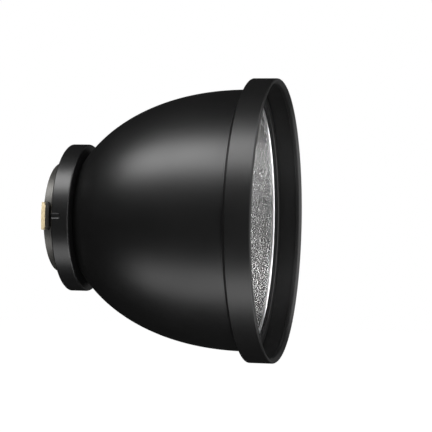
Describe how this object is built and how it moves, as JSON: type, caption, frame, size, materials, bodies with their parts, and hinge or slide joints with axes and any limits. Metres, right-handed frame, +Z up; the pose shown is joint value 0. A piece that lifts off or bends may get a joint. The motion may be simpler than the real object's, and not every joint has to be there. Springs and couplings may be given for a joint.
{
  "type": "studio flash bell reflector",
  "caption": "Deep bell reflector for a studio flash: black bell, bright pebbled liner, recessed front collar and a rear bayonet collar with cream lugs.",
  "frame": {"origin": "centre of the bayonet seat, on the rear face of the seat plate", "axes": "+X along the optical axis, out of the mouth; +Z up; the index mark and first lug face -Y"},
  "size_m": [0.2244, 0.28, 0.28],
  "materials": {
    "black_coat": "satin black powder coat on spun aluminium",
    "black_matte": "matte black coat",
    "bright_liner": "bright pebbled aluminium with a smooth polished rim",
    "grip_black": "satin black coat on turned aluminium",
    "cast_grey": "warm dark grey bead-blasted casting",
    "cream_pad": "cream high-temperature bearing plastic",
    "lug_black": "black moulded block",
    "gasket_felt": "dark heat-insulating washer",
    "screw_steel": "zinc-plated steel",
    "black_screw": "blackened steel"
  },
  "bodies": {
    "reflector": {"bell_shell": "black_coat", "reflector_liner": "bright_liner", "front_collar": "black_coat", "grid_retaining_ring": "black_matte", "liner_clamp_ring": "black_matte", "rim_rivets": "black_screw", "neck_clamp_ring": "black_matte", "neck_screws": "screw_steel", "neck_gasket": "gasket_felt", "grip_collar": "grip_black", "collar_screws": "black_screw", "seat_plate": "black_matte", "bayonet_spigot": "cast_grey", "lug_base_1": "lug_black", "lug_base_2": "lug_black", "lug_base_3": "lug_black", "lug_pad_1": "cream_pad", "lug_pad_2": "cream_pad", "lug_pad_3": "cream_pad", "lug_base_screws": "screw_steel", "lug_pad_screws": "screw_steel", "plunger_spring_1": "screw_steel", "plunger_spring_2": "screw_steel", "plunger_spring_3": "screw_steel"},
    "plunger_1": {"seat_plunger_1": "screw_steel"},
    "plunger_2": {"seat_plunger_2": "screw_steel"},
    "plunger_3": {"seat_plunger_3": "screw_steel"}
  },
  "joints": [
    {"name": "plunger_1_press", "type": "slide", "parent": "reflector", "child": "plunger_1", "axis": [1, 0, 0], "range_m": [0, 0.0015], "stiffness_N_per_m": 600, "springref_m": -0.004, "deforming": ["plunger_spring_1"]},
    {"name": "plunger_2_press", "type": "slide", "parent": "reflector", "child": "plunger_2", "axis": [1, 0, 0], "range_m": [0, 0.0015], "stiffness_N_per_m": 600, "springref_m": -0.004, "deforming": ["plunger_spring_2"]},
    {"name": "plunger_3_press", "type": "slide", "parent": "reflector", "child": "plunger_3", "axis": [1, 0, 0], "range_m": [0, 0.0015], "stiffness_N_per_m": 600, "springref_m": -0.004, "deforming": ["plunger_spring_3"]}
  ]
}
